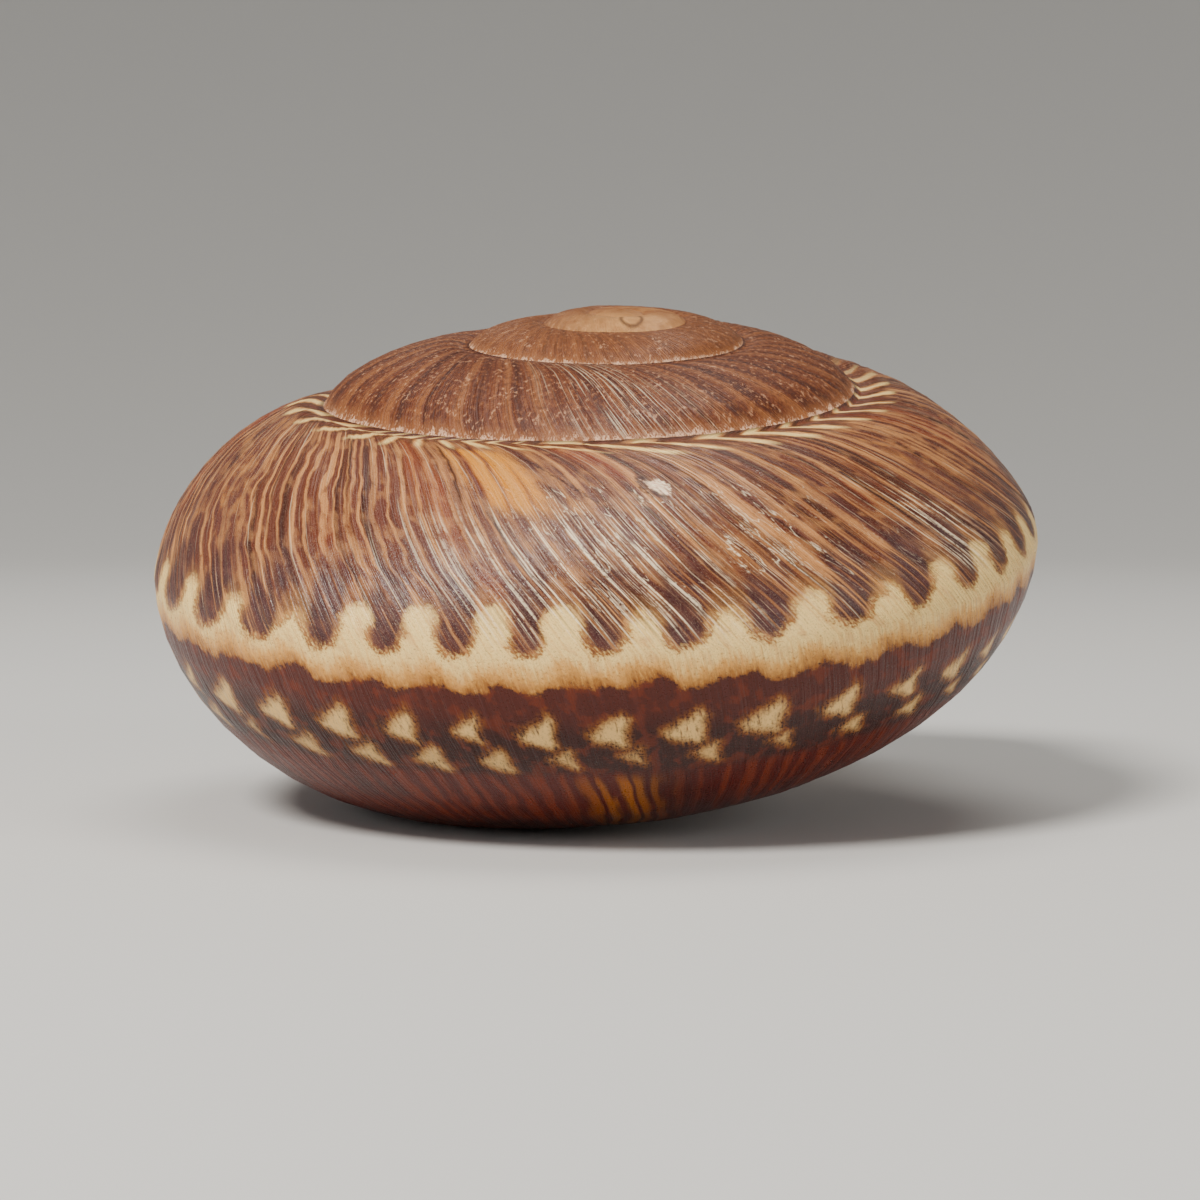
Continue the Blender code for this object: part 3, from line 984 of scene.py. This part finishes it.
    # The spire is duller and pinker, with a pale crust where the next whorl sits.
    young = step(growth, *marks["youngFrom"])
    spireStripes = waves(line + (stripeNoise - 0.5) * 7.0, pattern["spireStripeEvery"])
    spireStripes = spireStripes * 0.35 + stripeNoise * 0.65
    lighter = step(spireStripes, 0.2, 0.5, 0.8) + step(dust, 0.3, 0.6, 0.2)
    spire = mixed(colours["groundDark"], colours["spire"], lighter)
    spire = mixed(spire, colours["spireStripe"], step(spireStripes, 0.5, 0.8, 0.6))
    spire = mixed(spire, colours["groundDark"], step(combNoise, 0.45, 0.33, 0.45))
    spire = mixed(spire, colours["groundDark"], step(spireGrain, 0.48, 0.34, 0.45))
    dusty = step(growth, 1180.0, 1000.0, 0.3) + step(spireGrain, 0.5, 0.66, 0.35)
    spire = mixed(spire, colours["spireStripe"], dusty)
    crumbs = step(spireGrain + (tipGrain - 0.5) * 0.5, 0.64, 0.74)
    spire = mixed(spire, colours["crust"], crumbs * 0.3)
    wornSpire = step(streakNoise, 0.56, 0.68) * hill(growth, *marks["wornSpire"])
    spire = mixed(spire, colours["worn"], wornSpire * 0.5)
    colour = mixed(colour, spire, young)
    ragged = contact + (speckle - 0.5) * 0.8
    ragged = ragged + (spireGrain - 0.5) * 2.6 + (tipGrain - 0.5) * 1.6
    onTop = step(contact, -2.0, -1.0) * step(growth, 620.0, 700.0)
    colour = mixed(colour, colours["spireStripe"], step(ragged, 1.2, 0.3) * onTop * 0.5)
    crust = step(ragged, 0.3, -0.1) * onTop * step(spireGrain, 0.3, 0.45)
    colour = mixed(colour, colours["crust"], crust * 0.9)
    shadow = step(down, 0.3, 0.05) * step(growth, 900.0, 1000.0)
    colour = mixed(colour, colours["bandDeep"], shadow * 0.7)

    # The tip is tan, palest at the front of its rim.
    tipTone = step(growth + wobble * 60.0, *marks["tipUntil"])
    front = step(atY + tipGrain * 2.0, -3.5, -6.5) * hill(atX, 1.5, 6.0)
    front = front * step(growth, 660.0, 600.0)
    tanShare = step(tipGrain, 0.35, 0.65, 0.3) + front * 0.6
    tan = mixed(colours["spireStripe"], colours["tip"], tanShare)
    colour = mixed(colour, tan, tipTone * 0.9)

    # An oval ring drawn by wear on the tip's front rim, and only on the top of the shell.
    ringX = (atX - marks["ringAt"][0]) / marks["ringRadii"][0]
    ringY = (atY - marks["ringAt"][1]) / marks["ringRadii"][1]
    ringAt = root(ringX * ringX + ringY * ringY) + (speckle - 0.5) * 0.5
    ring = hill(ringAt, 1.0, 0.32) * step(atZ, 0.02, 0.025)
    colour = mixed(colour, colours["groundDark"], ring * 0.75)

    # A chip with painted shadow along one side of its rim, and two dark scars that run down from
    # the suture.
    chipX = (growth - marks["chipAt"][0]) * pattern["mmPerDegree"]
    chipY = up - marks["chipAt"][1]
    chipX = chipX + (speckle - 0.5) * 0.9 + chipY * 0.3
    chip = root(chipX * chipX + chipY * chipY * 1.6) + (middle - 0.5) * 1.2
    # Painted shadow: the chip's rim is dark on one side only.
    chipShadow = hill(chip, 0.95, 0.5) * step(chipX, -0.4, 0.5)
    colour = mixed(colour, colours["bandDeep"], chipShadow * 0.85)
    chipTone = mixed(colours["crust"], colours["worn"], step(speckle, 0.4, 0.6))
    colour = mixed(colour, chipTone, step(chip, 0.82, 0.55) * step(grain, 0.25, 0.4, 0.95))
    scarAngle, scarTop = marks["scarAt"]
    scarAt = growth - scarAngle - (scarTop - up) * 0.55 + (middle - 0.5) * 1.2
    scar = hill(scarAt, 0.0, 0.55) * step(up, 8.2, 8.8) * step(up, scarTop + 0.6, scarTop)
    scarAngle, scarTop = marks["secondScarAt"]
    scarAt = growth - scarAngle + (scarTop - up) * 1.2 + (speckle - 0.5) * 1.6
    second = hill(scarAt, 0.0, 0.5) * step(up, 7.8, 8.4) * step(up, scarTop + 0.4, scarTop - 0.2)
    colour = mixed(colour, colours["bandDeep"], largest(scar, second) * 0.85)

    # The inside of the shell is pale, clouded with light brown.
    isInside = step(contact, -9.0, -11.0)
    lining = mixed(colours["inside"], colours["lip"], step(slow, 0.35, 0.7, 0.6))
    colour = mixed(colour, lining, isInside)

    tree.links.new(colour.socket, surface.inputs["Base Color"])
    rough = finish["roughness"] + (speckle - 0.5) * 0.3 + (middle - 0.5) * 0.15
    rough = rough + young * finish["youngDuller"] + crust * finish["crustDuller"]
    tree.links.new(rough.socket, surface.inputs["Roughness"])
    surface.inputs["Specular IOR Level"].default_value = finish["specular"]
    lines = combNoise * 1.5 + speckle * 0.3
    strength, distance = finish["bumpStrength"], finish["bumpDistance"]
    bumpValues = {"Height": lines, "Strength": strength, "Distance": distance}
    bump = lines.node("Bump", {}, bumpValues)
    tree.links.new(bump.socket, surface.inputs["Normal"])
    print("material:", len(tree.nodes), "nodes")
    return material


shell.data.materials.append(shellMaterial())


stageSize = {
    "flat": 0.35,
    "reach": 1.1,
    "rise": 0.7,
    "rings": 40,
    "spokes": 96,
    "colour": (0.62, 0.62, 0.61, 1),
    "roughness": 0.9,
}


def studioFloor():
    # A round floor that curves up into a wall: a profile turned about the vertical.
    flat, reachOut, rise = stageSize["flat"], stageSize["reach"], stageSize["rise"]
    part = np.linspace(0, 1, stageSize["rings"])
    r = np.concatenate([[0.0], flat + (reachOut - flat) * np.sin(part * math.pi / 2)])
    z = np.concatenate([[0.0], rise * (1 - np.cos(part * math.pi / 2))])
    around = np.linspace(0, 2 * math.pi, stageSize["spokes"], endpoint=False)
    rr, aa = np.meshgrid(r, around, indexing="ij")
    zz = np.tile(z[:, None], (1, len(around)))
    points = np.stack([rr * np.cos(aa), rr * np.sin(aa), zz], axis=-1)
    index = np.arange(rr.size).reshape(rr.shape)
    index = np.concatenate([index, index[:, :1]], axis=1)
    faces = quads(index, 0, len(around))
    floor = makePiece("studioFloor", points.reshape(-1, 3), faces, {})
    material = bpy.data.materials.new("floor")
    material.use_nodes = True
    surface = material.node_tree.nodes["Principled BSDF"]
    surface.inputs["Base Color"].default_value = stageSize["colour"]
    surface.inputs["Roughness"].default_value = stageSize["roughness"]
    floor.data.materials.append(material)


studioFloor()


lights = {
    "key": {"at": (-0.24, -0.33, 0.43), "size": 0.18, "power": 4.7, "tint": (1.0, 0.95, 0.88)},
    "top": {"at": (0.05, 0.10, 0.60), "size": 0.40, "power": 1.6, "tint": (1.0, 0.96, 0.90)},
    "right": {"at": (0.50, -0.30, 0.22), "size": 0.30, "power": 0.9, "tint": (1.0, 0.98, 0.96)},
    "left": {"at": (-0.50, -0.25, 0.22), "size": 0.30, "power": 0.5, "tint": (0.96, 0.98, 1.0)},
}

surround = {"tint": (1.0, 0.98, 0.95, 1), "strength": 0.14}


def studioLights():
    # Round lamps that face the middle of the floor, and an even pale surround.
    for name, settings in lights.items():
        lamp = bpy.data.lights.new(name, "AREA")
        lamp.shape = "DISK"
        lamp.size = settings["size"]
        lamp.energy = settings["power"]
        lamp.color = settings["tint"]
        item = bpy.data.objects.new(name, lamp)
        item.location = settings["at"]
        item.rotation_euler = (-Vector(settings["at"])).to_track_quat("-Z", "Y").to_euler()
        bpy.context.scene.collection.objects.link(item)
    world = bpy.data.worlds.new("studio")
    world.use_nodes = True
    background = world.node_tree.nodes["Background"]
    background.inputs["Color"].default_value = surround["tint"]
    background.inputs["Strength"].default_value = surround["strength"]
    bpy.context.scene.world = world


studioLights()
print("floor and lights made")


view = {
    "distance": 170.0,
    "elevation": 2.8,
    "lens": 83.13,
    "sensor": 36.0,
    "nearest": 0.005,
    "shiftX": -0.0177,
    "shiftY": -0.0192,
}


def studioCamera():
    # Looks level across the coiling axis at the height of the last whorl's periphery.
    axisPoint = np.array([[0.0, 0.0, float(height(np.array(form["turnsAtLeftSide"])))]])
    axisPoint = (leaned(axisPoint) - shift)[0]
    angle = math.radians(view["elevation"])
    away = np.array([0.0, -math.cos(angle), math.sin(angle)]) * view["distance"]
    data = bpy.data.cameras.new("photoCamera")
    data.lens = view["lens"]
    data.sensor_width = view["sensor"]
    data.shift_x = view["shiftX"]
    data.shift_y = view["shiftY"]
    data.clip_start = view["nearest"]
    item = bpy.data.objects.new("photoCamera", data)
    item.location = (axisPoint + away) * mm
    item.rotation_euler = (math.pi / 2 - angle, 0.0, 0.0)
    bpy.context.scene.collection.objects.link(item)
    bpy.context.scene.camera = item


studioCamera()
